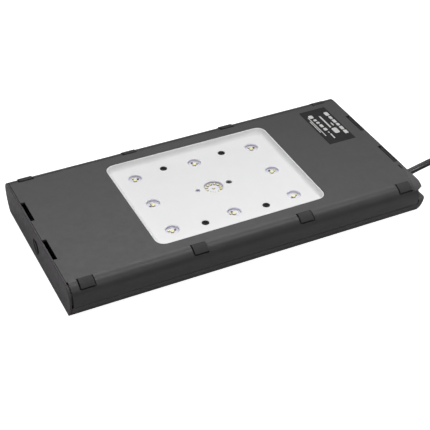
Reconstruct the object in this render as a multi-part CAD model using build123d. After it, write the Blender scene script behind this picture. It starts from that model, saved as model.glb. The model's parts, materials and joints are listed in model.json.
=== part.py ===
from build123d import *
import math
import os

# LED aquarium light, lying on its back with the light-emitting face up.
# X runs along the length towards the cord, Y across it, Z out of the lit face.
# Lengths are in millimetres. X is measured from the middle of the lit face;
# place() then shifts every piece so that the housing's box is centred on X = 0.

# ---- housing ----
BODY_DEPTH = 33.5        # back face to lit face
HALF_WIDTH = 89.0        # middle to the nose of a long edge
NOSE_HEIGHT = 21.5       # height of the nose above the back face
EDGE_RADIUS = 12.0       # rolled edge between lit face and nose
FLANK_RADIUS = 33.5      # long edge below the nose
WALL = 2.0
TRAY_WALL = 2.2
HALF_SHELL = 172.6       # middle to the end of the light-side cover
SEAM_HEIGHT = 12.0       # joint line between the two covers
SEAM_GAP = 0.25          # at the button end; the joint opens towards the cord end
SEAM_GAP_WIDE = 1.0
SEAM_BREAK = 0.4         # broken edge on both sides of the joint
CAP_OUTER = 174.6        # outer face of either end cap
CAP_INNER = HALF_SHELL + 0.15
LEFT_CAP_INNER = HALF_SHELL + 0.45
FOOT_START = 170.1       # the back cover's foot at the cord end
FOOT_GAP = 0.9
FOOT_OUTER = 178.0
FOOT_HEIGHT = 18.2
FOOT_CORNER = 4.5
FOOT_LIP = 2.0
SEAM_TURN = 2.5          # where the joint turns up beside the foot
RECESS_TOP = 27.8        # cord corner: below this height it is open beside the foot
END_WALL = 166.8         # inner face of the wall that holds the cord's boot
CENTRE_SHIFT = (CAP_OUTER - FOOT_OUTER) / 2
INNER_TOP = BODY_DEPTH - WALL
ABOVE = 40.0             # cutters end here, clear above the lit face
BESIDE = 100.0           # and here, clear beyond the long edges
COVER_SCREW_X = 105.0
COVER_SCREW_Y = 74.0
COVER_BOSS = 3.8
POST_FOOT = 1.5          # bosses start inside the tray's floor
M3_PILOT = 1.27
M3_CLEAR = 1.7
SMALL_PILOT = 1.22
SLOT_X = (169.2, 170.5)  # short slot beside the cord corner
SLOT_Y = (-57.3, -50.6)
CORNER_Y = -52.0         # the cord corner starts here
CORNER_EDGE = [(168.6, -66.0), (165.2, -77.0), (164.8, -96.0)]

# ---- vent slots in the short edges ----
VENT_START = 168.8
VENT_NEAR_Y = 15.2
VENT_FAR_Y = 45.0

# ---- snap hooks on the long edges ----
HOOK_X = (-156.4, -52.1, 52.1, 156.4)
HOOK_WIDTH = 13.0
HOOK_PROUD = 0.5
HOOK_PROUD_FAR = (0.9, 0.6, 0.9, 0.3)
HOOK_EDGE = 0.4
HOOK_RIGHT_GAPS = (0.7, 0.12, 0.7, 0.12)
HOOK_GAPS_IN = {-1: 0.3, 1: 0.6}     # gaps round the hooks, front (-1) and back (1)
HOOK_GAPS_LOW = {-1: 1.1, 1: 0.3}
HOOK_GAP_LEFT = 1.1
HOOK_LOW = 29.2
HOOK_IN_Y = 77.0
HOOK_OUT_Y = 95.0
HOOK_ROOT_Y = 70.0
HOOK_ROOT_Z = 4.0

# ---- rating label ----
LABEL_X = (128.8, 157.8)
LABEL_Y = (7.5, 69.5)
LABEL_THICKNESS = 0.15

# ---- reflector panel ----
PANEL_LENGTH = 168.0
PANEL_WIDTH = 131.7
PANEL_CORNER = 9.2
PANEL_RIM = 33.2         # height of the rim above the back face
PANEL_SWEEP = 3.9        # curve from the pocket's wall into its floor
PANEL_FLOOR = 28.0
PANEL_BELOW = 26.6
PANEL_WALL = 1.2
FLANGE_LOW = 29.7
FLANGE_HIGH = 30.9
CLUSTER_X = 61.3
CLUSTER_Y = 43.2
WINDOW_RADIUS = 6.4
CENTRE_WINDOW_RADIUS = 9.05
LENS_FIT = 0.15          # lens to window, all round
LENS_FLANGE = 1.0
LENS_CLEARANCE = 0.2     # lens hollow to the chips
COLLAR_WALL = 1.1        # skirts under the panel, round the lens flanges
PANEL_SCREW_X = 30.6
PANEL_SCREW_Y = 47.0
SCREW_SEAT = 26.9
SCREW_HEAD = 1.3
SENSOR_X = 16.0
SENSOR_Y = 0.5
SENSOR_HOLE = 2.9
BLANK_HOLE = 2.35

# ---- light engine ----
CHIP_HEIGHT = 0.95
MIDDLE_CHIP = 2.0        # radii of the emitters
SIDE_CHIP = 1.1
RING_CHIP = 1.3
LIGHT_TURNS = (150, 160, 20, 110, 20, 110, 10, 110)   # degrees, one cluster after another
DARK_TURNS = (20, 110, -150, 190, 110, 20, 110, 20)
SIDE_CHIP_RING = 3.3
CENTRE_CHIP_RING = 6.8
BOARD_LENGTH = 150.0
BOARD_WIDTH = 112.0
BOARD_TOP = 25.4
BOARD_LOW = 23.9
SINK_LENGTH = 156.0
SINK_WIDTH = 130.0
SINK_TOP = 23.4
SINK_BASE = 19.4
FIN_LOW = 12.7
FIN_COUNT = 21
FIN_PITCH = 5.5
FIN_THICKNESS = 1.4
POST_X = 70.0
POST_Y = 60.5

# ---- fan ----
FAN_SIZE = 80.0
FAN_LOW = 2.3
FAN_HIGH = 12.3
FAN_BORE = 38.5
FAN_HOLE_PITCH = 71.5
BLADE_COUNT = 7
SHAFT_RADIUS = 1.5
BEARING_CLEARANCE = 0.03

# ---- round fan guard ----
GUARD_RADIUS = 41.2

# ---- push-button in the left end cap ----
BUTTON_Z = 15.9
BUTTON_RADIUS = 5.7
BUTTON_FACE = -175.0
BEZEL_RADIUS = 7.7

# ---- locating nib of the left end cap ----
LEFT_CORNER_GAP = 1.2    # extra gap to the cap round the near long edge
LEFT_CORNER_Y = -77.5
NIB_HEIGHT = 26.4
NIB_END = -171.7

# ---- hanging points, brass inserts for M4 ----
INSERT_X = 120.0
INSERT_Y = 50.0
INSERT_RADIUS = 2.9
INSERT_BORE = 1.65

# ---- power cord ----
CORD_RADIUS = 3.2
CORD_Z = 24.0
CORD_CROSS_Y = -55.8     # where the cord's axis crosses the cap's outer face
CORD_ANGLE = 13.0        # degrees towards the back
BOOT_TIP_X = 179.6
JOIN_X = 177.0           # inside the boot, where the free cord takes over
COIL_CENTRE = (262.0, -78.0)
COIL_OUTER = 48.2
COIL_INNER = 22.2
COIL_LOW = 0.5
COIL_HIGH = 13.3
CORD_ROUTE = [
    (177.0, -55.25, 24.0),
    (214.0, -46.7, 24.0),
    (239.0, -38.4, 17.5),
    (264.0, -33.4, 10.1),
]
TAIL_ROUTE = [
    (300.5, -101.5, 3.7),
    (290.5, -122.0, 4.2),
    (270.0, -131.5, 5.6),
    (250.0, -131.5, 5.6),
]
PLUG_LENGTH = 30.0
BARREL_RADIUS = 2.75
BARREL_LENGTH = 9.5

CORD_DIRECTION = Vector(math.cos(math.radians(CORD_ANGLE)), math.sin(math.radians(CORD_ANGLE)), 0)

# ---- circuit boards ----
DRIVER_SCREWS = [(97, -35), (153, -35), (97, 55), (153, 55)]
CONTROL_SCREWS = [(-101, -40), (-101, 40), (-147, -40), (-147, 40)]
BOARD_SCREWS = DRIVER_SCREWS + CONTROL_SCREWS
PCB_LOW = 7.0
PCB_TOP = 8.6


# ---------------------------------------------------------------- helpers
def block(x0, x1, y0, y1, z0, z1):
    """Box between two corners."""
    middle = Pos((x0 + x1) / 2, (y0 + y1) / 2, (z0 + z1) / 2)
    return middle * Box(x1 - x0, y1 - y0, z1 - z0)


def post(x, y, radius, z0, z1):
    """Upright cylinder."""
    return Pos(x, y, (z0 + z1) / 2) * Cylinder(radius, z1 - z0)


def pin_x(y, z, radius, x0, x1):
    """Cylinder lying along X."""
    return Pos((x0 + x1) / 2, y, z) * Rot(0, 90, 0) * Cylinder(radius, x1 - x0)


def along_y(x, z, radius):
    """Long cylinder lying along Y."""
    return Pos(x, 0, z) * Rot(90, 0, 0) * Cylinder(radius, 250)


def plate(length, width, corner, z0, z1):
    """Flat plate with round corners, centred on the lit face's middle."""
    return extrude(Pos(0, 0, z0) * RectangleRounded(length, width, corner), z1 - z0)


def corners(x, y):
    """The four mirror images of a point."""
    return [(sx * x, sy * y) for sx in (-1, 1) for sy in (-1, 1)]


def lens_section(inset):
    """Cross-section of the housing in the Y-Z plane, `inset` inside its skin."""
    top = BODY_DEPTH - inset
    nose = HALF_WIDTH - inset
    edge_centre = HALF_WIDTH - EDGE_RADIUS
    flank_centre = HALF_WIDTH - FLANK_RADIUS
    flank = FLANK_RADIUS - inset
    drop = math.asin((NOSE_HEIGHT - inset) / flank)
    foot = flank_centre + flank * math.cos(drop)
    half_arc = flank_centre + flank * math.cos(drop / 2)
    half_arc_z = NOSE_HEIGHT - flank * math.sin(drop / 2)
    bend = (EDGE_RADIUS - inset) * math.sqrt(0.5)
    edges = [
        Line((0, -foot, inset), (0, foot, inset)),
        Line((0, edge_centre, top), (0, -edge_centre, top)),
    ]
    for side in (1, -1):
        low = (0, side * foot, inset)
        middle = (0, side * half_arc, half_arc_z)
        tip = (0, side * nose, NOSE_HEIGHT)
        curl = (0, side * (edge_centre + bend), NOSE_HEIGHT + bend)
        high = (0, side * edge_centre, top)
        edges.append(ThreePointArc(low, middle, tip))
        edges.append(ThreePointArc(tip, curl, high))
    return Face(Wire(edges))


def lens_bar(inset, x0, x1):
    """Bar of the housing's cross-section between two X positions."""
    return Pos(x0, 0, 0) * extrude(lens_section(inset), amount=x1 - x0, dir=(1, 0, 0))


def band(outer, inner, x0, x1, z0, z1):
    """Part of the housing's skin between two insets, two lengths and two heights."""
    ring = lens_bar(outer, x0, x1) - lens_bar(inner, x0 - 1, x1 + 1)
    return ring & block(x0, x1, -BESIDE, BESIDE, z0, z1)


def turned_along(points, start, direction):
    """Solid turned about a slanted axis from (radius, distance) points."""
    outline = [(radius, 0, distance) for radius, distance in points]
    face = make_face(Polyline(*outline, close=True))
    return Plane(origin=start, z_dir=direction).location * revolve(face, Axis.Z)


def bend_radii(points):
    """Largest tangent arcs for a route: 0.45 of the shorter run at each corner."""
    vectors = [Vector(*point) for point in points]
    radii = []
    for before, here, after in zip(vectors[:-2], vectors[1:-1], vectors[2:]):
        into = here - before
        out = after - here
        half_turn = math.radians(into.get_angle(out)) / 2
        radii.append(0.45 * min(into.length, out.length) / math.tan(half_turn))
    return radii


def tube(points, radius):
    """Round lead along straight runs joined by tangent arcs."""
    path = FilletPolyline(*points, radius=bend_radii(points))
    start = Plane(origin=path @ 0, z_dir=path % 0)
    return sweep(start * Circle(radius), path=path), path.length


def on_cord(x, side=0.0, z=CORD_Z):
    """Point on the cord's straight axis at X, moved sideways by `side`."""
    y = CORD_CROSS_Y + (x - CAP_OUTER) * math.tan(math.radians(CORD_ANGLE))
    return Vector(x - side * CORD_DIRECTION.Y, y + side * CORD_DIRECTION.X, z)


# ---------------------------------------------------------------- housing
def hook_window(x, side):
    """Cutter for the window that a snap hook shows through."""
    right_gap = HOOK_RIGHT_GAPS[HOOK_X.index(x)]
    y0, y1 = sorted((side * (HOOK_IN_Y - HOOK_GAPS_IN[side]), side * HOOK_OUT_Y))
    x0 = x - HOOK_WIDTH / 2 - HOOK_GAP_LEFT
    x1 = x + HOOK_WIDTH / 2 + right_gap
    return block(x0, x1, y0, y1, HOOK_LOW - HOOK_GAPS_LOW[side], ABOVE)


def snap_hook(x, side):
    """Hook of the back cover: an arm inside the skin and the pad in its window."""
    x0 = x - HOOK_WIDTH / 2
    x1 = x + HOOK_WIDTH / 2
    proud = HOOK_PROUD if side < 0 else HOOK_PROUD_FAR[HOOK_X.index(x)]
    pad = band(-proud, WALL + 0.4, x0, x1, HOOK_LOW, ABOVE)
    arm = band(WALL + 0.3, WALL + 1.9, x0, x1, 10, ABOVE)
    root = band(1.0, WALL + 1.9, x0, x1, HOOK_ROOT_Z, SEAM_HEIGHT - SEAM_GAP)
    y0, y1 = sorted((side * HOOK_IN_Y, side * HOOK_OUT_Y))
    keep = block(x0, x1, y0, y1, HOOK_ROOT_Z, ABOVE)
    pad = (pad & keep).solids()[0]
    pad = fillet(pad.faces().sort_by(SortBy.AREA)[-1].edges(), HOOK_EDGE)
    root_y0, root_y1 = sorted((side * HOOK_ROOT_Y, side * HOOK_OUT_Y))
    root_keep = block(x0, x1, root_y0, root_y1, HOOK_ROOT_Z, ABOVE)
    return pad + (arm & keep) + (root & root_keep)


def corner_plan(gap):
    """Plan outline of the cord corner that the separate corner cover fills."""
    outline = [
        (HALF_SHELL + 3, CORNER_Y - gap),
        (HALF_SHELL + 0.1 + gap, CORNER_Y - gap),
        *[(x + gap, y) for x, y in CORNER_EDGE],
        (HALF_SHELL + 3, CORNER_EDGE[-1][1]),
    ]
    return make_face(Polyline(*outline, close=True))


def light_side_cover():
    shell = band(0, WALL, -HALF_SHELL, HALF_SHELL, SEAM_HEIGHT, ABOVE)
    low_edges = shell.edges().filter_by(Axis.X).group_by(Axis.Z)[0].sort_by(Axis.Y)
    shell = chamfer([low_edges[0], low_edges[-1]], SEAM_BREAK)
    shell -= plate(PANEL_LENGTH + 0.5, PANEL_WIDTH + 0.5, PANEL_CORNER + 0.25, 28, ABOVE)
    end = FOOT_START - FOOT_GAP
    cutters = [block(end, 180, -BESIDE, BESIDE, 0, FOOT_HEIGHT + 0.2)]
    cutters.append(block(end, 180, -BESIDE, CORNER_Y, 0, RECESS_TOP))
    cutters.append(extrude(Pos(0, 0, RECESS_TOP) * corner_plan(0), 30))
    turn = block(end - SEAM_TURN, end + 1, -BESIDE, BESIDE, 11, SEAM_HEIGHT + SEAM_TURN)
    cutters.append(turn - along_y(end - SEAM_TURN, SEAM_HEIGHT + SEAM_TURN, SEAM_TURN))
    cutters.append(block(*SLOT_X, *SLOT_Y, PANEL_FLOOR, ABOVE))
    for way in (-1, 1):
        for side in (-1, 1):
            x0, x1 = sorted((way * VENT_START, way * (HALF_SHELL + 1)))
            y0, y1 = sorted((side * VENT_NEAR_Y, side * VENT_FAR_Y))
            cutters.append(block(x0, x1, y0, y1, 28, ABOVE))
    for x in HOOK_X:
        for side in (-1, 1):
            cutters.append(hook_window(x, side))
    cutters.append(block(-180, -HALF_SHELL + LEFT_CORNER_GAP, -BESIDE, LEFT_CORNER_Y, SEAM_HEIGHT - 1, ABOVE))
    shell -= cutters
    for x, y in corners(COVER_SCREW_X, COVER_SCREW_Y):
        shell += post(x, y, COVER_BOSS, SEAM_HEIGHT + 0.3, INNER_TOP + 0.5)
    for x in (-130, -90, 90, 130):
        for side in (-1, 1):
            y0, y1 = sorted((side * 10, side * 69))
            shell += block(x - 0.6, x + 0.6, y0, y1, INNER_TOP - 2.0, INNER_TOP + 0.5)
    for x, y in corners(COVER_SCREW_X, COVER_SCREW_Y):
        shell -= post(x, y, M3_PILOT, 0, INNER_TOP - 2)
    return shell


def back_cover():
    rim = SEAM_HEIGHT - SEAM_GAP
    low_rim = SEAM_HEIGHT - SEAM_GAP_WIDE
    tray = lens_bar(0, -HALF_SHELL, HALF_SHELL) & block(-200, 200, -BESIDE, BESIDE, -1, rim)
    slope = Polyline((-HALF_SHELL - 1, 0, rim), (HALF_SHELL + 1, 0, low_rim), (HALF_SHELL + 1, 0, rim + 1),
                     (-HALF_SHELL - 1, 0, rim + 1), close=True)
    tray -= extrude(make_face(slope), amount=100, dir=(0, 1, 0), both=True)
    rim_edges = tray.faces().sort_by(Axis.Z)[-1].edges().sort_by(SortBy.LENGTH)[-2:]
    tray = chamfer(rim_edges, SEAM_BREAK)
    foot = lens_bar(0, FOOT_START, FOOT_OUTER) & block(160, 200, -BESIDE, BESIDE, -1, FOOT_HEIGHT)
    foot = fillet(foot.edges().group_by(Axis.X)[-1].filter_by(GeomType.CIRCLE), FOOT_CORNER)
    lip = foot.faces().sort_by(Axis.X)[-1].edges().filter_by(Axis.Y).sort_by(Axis.Z)[-1]
    foot = fillet(lip, FOOT_LIP)
    cover = tray + foot
    turn_end = FOOT_START + 0.1
    turn = block(FOOT_START - SEAM_TURN, turn_end, -BESIDE, BESIDE, low_rim - 0.1, low_rim + SEAM_TURN)
    turn -= along_y(FOOT_START - SEAM_TURN, low_rim + SEAM_TURN, SEAM_TURN)
    cover += turn & lens_bar(0, 160, 175)
    cover -= lens_bar(TRAY_WALL, -HALF_SHELL - 1, FOOT_START) & block(-200, 200, -BESIDE, BESIDE, 0, ABOVE)
    hollow = lens_bar(TRAY_WALL, FOOT_START - 5, FOOT_OUTER - TRAY_WALL)
    cover -= hollow & block(150, 200, -BESIDE, BESIDE, 0, FOOT_HEIGHT - TRAY_WALL)
    cover += band(TRAY_WALL - 0.6, TRAY_WALL + 1.2, -165, 160, 9, SEAM_HEIGHT + 1.5) & lip_sides()
    for x in HOOK_X:
        for side in (-1, 1):
            cover += snap_hook(x, side)
    cover += back_cover_posts()
    cover -= back_cover_holes()
    return cover


def lip_sides():
    """The locating lip runs along both long sides, clear of the light-side skin."""
    inside = lens_bar(WALL + 0.15, -200, 200)
    return inside - block(-200, 200, -80, 80, 0, ABOVE)


def back_cover_posts():
    """Bosses that stand on the tray floor."""
    posts = [post(x, y, 4.0, POST_FOOT, SINK_BASE) for x, y in corners(POST_X, POST_Y)]
    for x, y in corners(COVER_SCREW_X, COVER_SCREW_Y):
        posts.append(post(x, y, COVER_BOSS, POST_FOOT, SEAM_HEIGHT))
    posts += [post(x, y, 5.0, POST_FOOT, 6.6) for x, y in corners(INSERT_X, INSERT_Y)]
    posts += [post(x, y, 3.0, POST_FOOT, PCB_LOW) for x, y in BOARD_SCREWS]
    for side in (-1, 1):
        y0, y1 = sorted((side * 13.5, side * 18))
        posts.append(block(-165.5, -159.5, y0, y1, POST_FOOT, 14))
    middle = on_cord(150)
    posts.append(block(146, 154, middle.Y - 11, middle.Y + 11, POST_FOOT, CORD_Z - 0.2))
    return posts


def back_cover_holes():
    holes = [post(0, 0, GUARD_RADIUS + 0.2, -1, 1.2), post(0, 0, 39.4, -1, 5)]
    holes += [post(x, y, M3_PILOT, 7, 20) for x, y in corners(POST_X, POST_Y)]
    holes += [post(x, y, M3_CLEAR, -1, 20) for x, y in corners(COVER_SCREW_X, COVER_SCREW_Y)]
    holes += [post(x, y, 3.4, -1, 4.0) for x, y in corners(COVER_SCREW_X, COVER_SCREW_Y)]
    holes += [post(x, y, INSERT_RADIUS + 0.01, -1, 5.6) for x, y in corners(INSERT_X, INSERT_Y)]
    holes += [post(x, y, SMALL_PILOT, 3.5, 9) for x, y in BOARD_SCREWS]
    half = FAN_HOLE_PITCH / 2
    for x, y in corners(half, half):
        holes.append(post(x, y, M3_CLEAR, -1, 5))
        holes.append(Pos(x, y, 0.8) * Cone(3.2, 1.7, 1.62))
    for side in (-1, 1):
        y0, y1 = sorted((side * 12, side * 15.7))
        holes.append(block(-163.55, -161.65, y0, y1, 8, 20))
    holes.append(Plane(origin=on_cord(120), z_dir=CORD_DIRECTION).location * Pos(0, 0, 30)
                 * Cylinder(CORD_RADIUS + 0.05, 60))
    for offset in (-8, 8):
        point = on_cord(150, offset)
        holes.append(post(point.X, point.Y, SMALL_PILOT, 12, 30))
    return holes


def left_end_cap():
    cap = lens_bar(0, -CAP_OUTER, -LEFT_CAP_INNER)
    cap = fillet(cap.edges().group_by(Axis.X)[0], 0.7)
    rim = band(WALL + 0.2, WALL + 1.8, -LEFT_CAP_INNER - 0.5, -168, TRAY_WALL + 0.4, ABOVE)
    cap += rim - [
        block(-172, -160, 12, 48, 26, ABOVE),
        block(-172, -160, -48, -12, 26, ABOVE),
        block(-200, -160, -95, 95, 0, 14.5),
    ]
    cap -= pin_x(0, BUTTON_Z, BEZEL_RADIUS + 0.1, -176, -173.7)
    cap -= pin_x(0, BUTTON_Z, 6.85, -176, -160)
    nib = band(0.3, WALL, -LEFT_CAP_INNER - 0.5, NIB_END, NIB_HEIGHT - 1, NIB_HEIGHT + 1)
    return cap + (nib & block(-180, -160, -100, 0, 0, ABOVE))


def right_end_cap():
    cap = lens_bar(0, CAP_INNER, CAP_OUTER)
    cap = chamfer(cap.edges().group_by(Axis.X)[-1], 1.2)
    cap &= block(160, 200, -BESIDE, BESIDE, FOOT_HEIGHT + 0.15, ABOVE)
    cap -= block(160, 200, -100, -50, 0, ABOVE)
    rim = band(WALL + 0.2, WALL + 1.8, 168, CAP_INNER + 0.5, FOOT_HEIGHT + 0.5, ABOVE)
    cap += rim - [
        block(160, 172, 12, 48, 26, ABOVE),
        block(160, 172, -48, -12, 26, ABOVE),
        block(160, 200, -100, -50, 0, ABOVE),
    ]
    wall = lens_bar(WALL + 0.3, END_WALL, END_WALL + 1.8) & block(160, 180, -100, -44, 13.5, 29.3)
    side = block(END_WALL, CAP_INNER + 1, -46, -44, FOOT_HEIGHT + 0.15, 29.3)
    cap += [wall, side]
    bore = Plane(origin=on_cord(160), z_dir=CORD_DIRECTION).location * Pos(0, 0, 10) * Cylinder(5.25, 20)
    return cap - bore


def cable_entry_cover():
    """Textured cover over the cord corner, with the notch that lets the cord out."""
    skin = band(0, WALL, 160, CAP_INNER + 0.65, RECESS_TOP + 0.15, ABOVE)
    skin &= extrude(Pos(0, 0, FOOT_HEIGHT) * corner_plan(0.15), 30)
    notch = make_face(Polyline((168.8, 0, 17), (168.8, 0, 27.9), (173.6, 0, 29.9), (176, 0, 31), (176, 0, 17),
                               close=True))
    skin -= extrude(Pos(0, -60, 0) * notch, amount=60, dir=(0, -1, 0))
    return skin


def rating_label():
    return block(*LABEL_X, *LABEL_Y, BODY_DEPTH, BODY_DEPTH + LABEL_THICKNESS)


# ---------------------------------------------------------------- reflector panel
def cluster_spots():
    """Middles of the eight small LED clusters, row by row."""
    return [
        (column * CLUSTER_X, row * CLUSTER_Y)
        for row in (-1, 0, 1)
        for column in (-1, 0, 1)
        if row or column
    ]


def reflector_panel():
    body = plate(PANEL_LENGTH, PANEL_WIDTH, PANEL_CORNER, PANEL_BELOW, PANEL_RIM)
    body += plate(PANEL_LENGTH + 6, PANEL_WIDTH + 6, PANEL_CORNER + 3, FLANGE_LOW, FLANGE_HIGH)
    inner = plate(PANEL_LENGTH - 2 * PANEL_WALL, PANEL_WIDTH - 2 * PANEL_WALL,
                  PANEL_CORNER - PANEL_WALL, PANEL_FLOOR, ABOVE)
    inner = fillet(inner.edges().group_by(Axis.Z)[0], PANEL_SWEEP)
    body -= inner
    body = fillet(body.edges().group_by(Axis.Z)[-1], 0.35)
    windows = [(x, y, WINDOW_RADIUS) for x, y in cluster_spots()] + [(0, 0, CENTRE_WINDOW_RADIUS)]
    cutters = []
    for x, y, radius in windows:
        seat = radius - LENS_FIT + LENS_FLANGE + 0.1
        body += post(x, y, seat + COLLAR_WALL, BOARD_TOP + 0.05, PANEL_BELOW + 0.1)
        cutters.append(post(x, y, seat, 20, PANEL_BELOW))
        cutters.append(post(x, y, radius, 20, ABOVE))
        cutters.append(Pos(x, y, PANEL_FLOOR - 0.1) * Cone(radius, radius + 0.4, 0.42))
    for x, y in corners(PANEL_SCREW_X, PANEL_SCREW_Y):
        body += post(x, y, 5.2, BOARD_TOP + 0.05, PANEL_BELOW + 0.1)
        cutters.append(post(x, y, M3_CLEAR, 20, ABOVE))
        cutters.append(post(x, y, 3.6, SCREW_SEAT, ABOVE))
    cutters.append(post(SENSOR_X, SENSOR_Y, SENSOR_HOLE, 20, ABOVE))
    cutters.append(post(-SENSOR_X, SENSOR_Y, BLANK_HOLE, 20, ABOVE))
    return body - cutters


def panel_gasket():
    ring = plate(PANEL_LENGTH + 5.6, PANEL_WIDTH + 5.6, PANEL_CORNER + 2.8, FLANGE_HIGH, INNER_TOP)
    return ring - plate(PANEL_LENGTH + 1.2, PANEL_WIDTH + 1.2, PANEL_CORNER + 0.6, 28, ABOVE)


def lens(x, y, radius, cavity):
    """Clear low-domed lens with a flange below and a hollow over the chips."""
    low = BOARD_TOP + 0.05
    shoulder = PANEL_BELOW - 0.2
    top = PANEL_FLOOR - 0.9
    rise = 0.3
    flange = post(x, y, radius + LENS_FLANGE, low, shoulder)
    sphere_radius = (radius**2 + rise**2) / (2 * rise)
    dome = Pos(x, y, top + rise - sphere_radius) * Sphere(sphere_radius)
    barrel = post(x, y, radius, low, top + rise + 1)
    body = flange + (barrel & dome)
    return body - post(x, y, cavity, low - 1, low + 1.1)


def chip(x, y, radius):
    """Round emitter with a soft upper edge."""
    body = post(x, y, radius, BOARD_TOP, BOARD_TOP + CHIP_HEIGHT)
    return fillet(body.edges().filter_by(GeomType.CIRCLE).group_by(Axis.Z)[-1], CHIP_HEIGHT * 0.5)


def ring_spots(x, y, radius, count, first):
    """Evenly spaced points on a circle, the first at `first` degrees."""
    turns = [math.radians(first + 360 / count * k) for k in range(count)]
    return [(x + radius * math.cos(turn), y + radius * math.sin(turn)) for turn in turns]


def cluster_leds():
    """White emitters of the small clusters: one in the middle and one beside it."""
    chips = []
    for (x, y), turn in zip(cluster_spots(), LIGHT_TURNS):
        chips.append(chip(x, y, MIDDLE_CHIP))
        chips += [chip(*spot, SIDE_CHIP) for spot in ring_spots(x, y, SIDE_CHIP_RING, 1, turn)]
    return chips


def colour_leds():
    """Coloured emitters of the small clusters, one in each."""
    chips = []
    for (x, y), turn in zip(cluster_spots(), DARK_TURNS):
        chips += [chip(*spot, SIDE_CHIP) for spot in ring_spots(x, y, SIDE_CHIP_RING, 1, turn)]
    return chips


def centre_leds():
    spots = ring_spots(0, 0, CENTRE_CHIP_RING, 12, 0)
    return [chip(0, 0, RING_CHIP)] + [chip(*spot, RING_CHIP) for spot in spots]


def light_sensor():
    return post(SENSOR_X, SENSOR_Y, SENSOR_HOLE - 0.1, BOARD_TOP, PANEL_FLOOR - 1.1)


def slab_with_holes(z0, z1):
    """Board-sized slab with clearance holes for the panel screws."""
    slab = plate(BOARD_LENGTH, BOARD_WIDTH, 3, z0, z1)
    return slab - [post(x, y, M3_CLEAR, 10, ABOVE) for x, y in corners(PANEL_SCREW_X, PANEL_SCREW_Y)]


def heat_sink():
    sink = plate(SINK_LENGTH, SINK_WIDTH, 4, SINK_BASE, SINK_TOP)
    for k in range(FIN_COUNT):
        y = (k - (FIN_COUNT - 1) / 2) * FIN_PITCH
        half = FIN_THICKNESS / 2
        sink += block(-SINK_LENGTH / 2, SINK_LENGTH / 2, y - half, y + half, FIN_LOW, SINK_BASE + 1)
    sink -= [post(x, y, 1.5, 10, ABOVE) for x, y in corners(PANEL_SCREW_X, PANEL_SCREW_Y)]
    return sink - [post(x, y, 1.6, 10, ABOVE) for x, y in corners(POST_X, POST_Y)]


def cap_screw(x, y, shank, head, z_tip, z_seat, z_top, upward=True):
    """Pan-head screw; the head sits beyond z_seat."""
    body = post(x, y, shank, min(z_tip, z_seat), max(z_tip, z_seat))
    low, high = sorted((z_seat, z_top))
    crown = post(x, y, head, low, high)
    rim = crown.edges().filter_by(GeomType.CIRCLE).group_by(Axis.Z)[-1 if upward else 0]
    crown = fillet(rim, (high - low) * 0.45)
    depth = (high - low) * 0.5
    drive_low, drive_high = (high - depth, high + 1) if upward else (low - 1, low + depth)
    slot = block(x - head * 0.62, x + head * 0.62, y - 0.4, y + 0.4, drive_low, drive_high)
    cross = block(x - 0.4, x + 0.4, y - head * 0.62, y + head * 0.62, drive_low, drive_high)
    return body + crown - [slot, cross]


def panel_screws():
    return [
        cap_screw(x, y, 1.45, 3.4, SINK_BASE + 0.4, SCREW_SEAT, SCREW_SEAT + SCREW_HEAD)
        for x, y in corners(PANEL_SCREW_X, PANEL_SCREW_Y)
    ]


def heat_sink_screws():
    return [
        cap_screw(x, y, 1.25, 2.8, 9.0, SINK_TOP, SINK_TOP + 1.8)
        for x, y in corners(POST_X, POST_Y)
    ]


# ---------------------------------------------------------------- fan
def fan_frame():
    frame = plate(FAN_SIZE, FAN_SIZE, 5, FAN_LOW, FAN_HIGH) - post(0, 0, FAN_BORE, 0, 20)
    half = FAN_HOLE_PITCH / 2
    frame -= [post(x, y, 1.5, 0, 20) for x, y in corners(half, half)]
    hub_low = FAN_HIGH - 1.4
    arms = [
        Rot(0, 0, 20 + 90 * k) * block(10, FAN_BORE + 0.8, -2.2, 2.2, hub_low, FAN_HIGH)
        for k in range(4)
    ]
    frame += arms + [post(0, 0, 15.5, hub_low, FAN_HIGH), post(0, 0, 4.2, 4.9, FAN_HIGH)]
    return frame - post(0, 0, 3.01, 0, FAN_HIGH - 0.6)


def fan_bearing():
    sleeve = post(0, 0, 3.0, 4.9, FAN_HIGH - 0.9)
    return sleeve - post(0, 0, SHAFT_RADIUS + BEARING_CLEARANCE, 0, 20)


def fan_stator():
    core = post(0, 0, 6.2, 5.6, 9.6)
    for k in range(4):
        core += Rot(0, 0, 90 * k) * block(5, 12.2, -1.7, 1.7, 6.2, 9.0)
        shoe = post(0, 0, 13.2, 5.9, 9.3) - post(0, 0, 11.8, 5, 10)
        core += Rot(0, 0, 90 * k) * (shoe & block(8, 14, -6.0, 6.0, 5, 10))
    return core - post(0, 0, 4.25, 0, 20)


def fan_magnet():
    return post(0, 0, 14.9, 5.2, 9.8) - post(0, 0, 13.9, 0, 20)


def fan_rotor():
    hub = post(0, 0, 16.4, 2.9, 10.2) - post(0, 0, 14.92, 4.1, 20)
    hub = fillet(hub.edges().filter_by(GeomType.CIRCLE).group_by(Axis.Z)[0], 0.9)
    hub += post(0, 0, 2.6, 3.5, 4.7)
    reach = post(0, 0, FAN_BORE - 0.8, 0, 20) - post(0, 0, 15.6, -1, 30)
    for k in range(BLADE_COUNT):
        blade = Pos(27, 0, 6.6) * Rot(32, 0, 0) * Box(24, 11.5, 1.1)
        hub += Rot(0, 0, 360 / BLADE_COUNT * k) * (blade & reach)
    return hub - post(0, 0, SHAFT_RADIUS, 3.9, 20)


def fan_shaft():
    return post(0, 0, SHAFT_RADIUS, 3.9, FAN_HIGH - 1.2)


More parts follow.
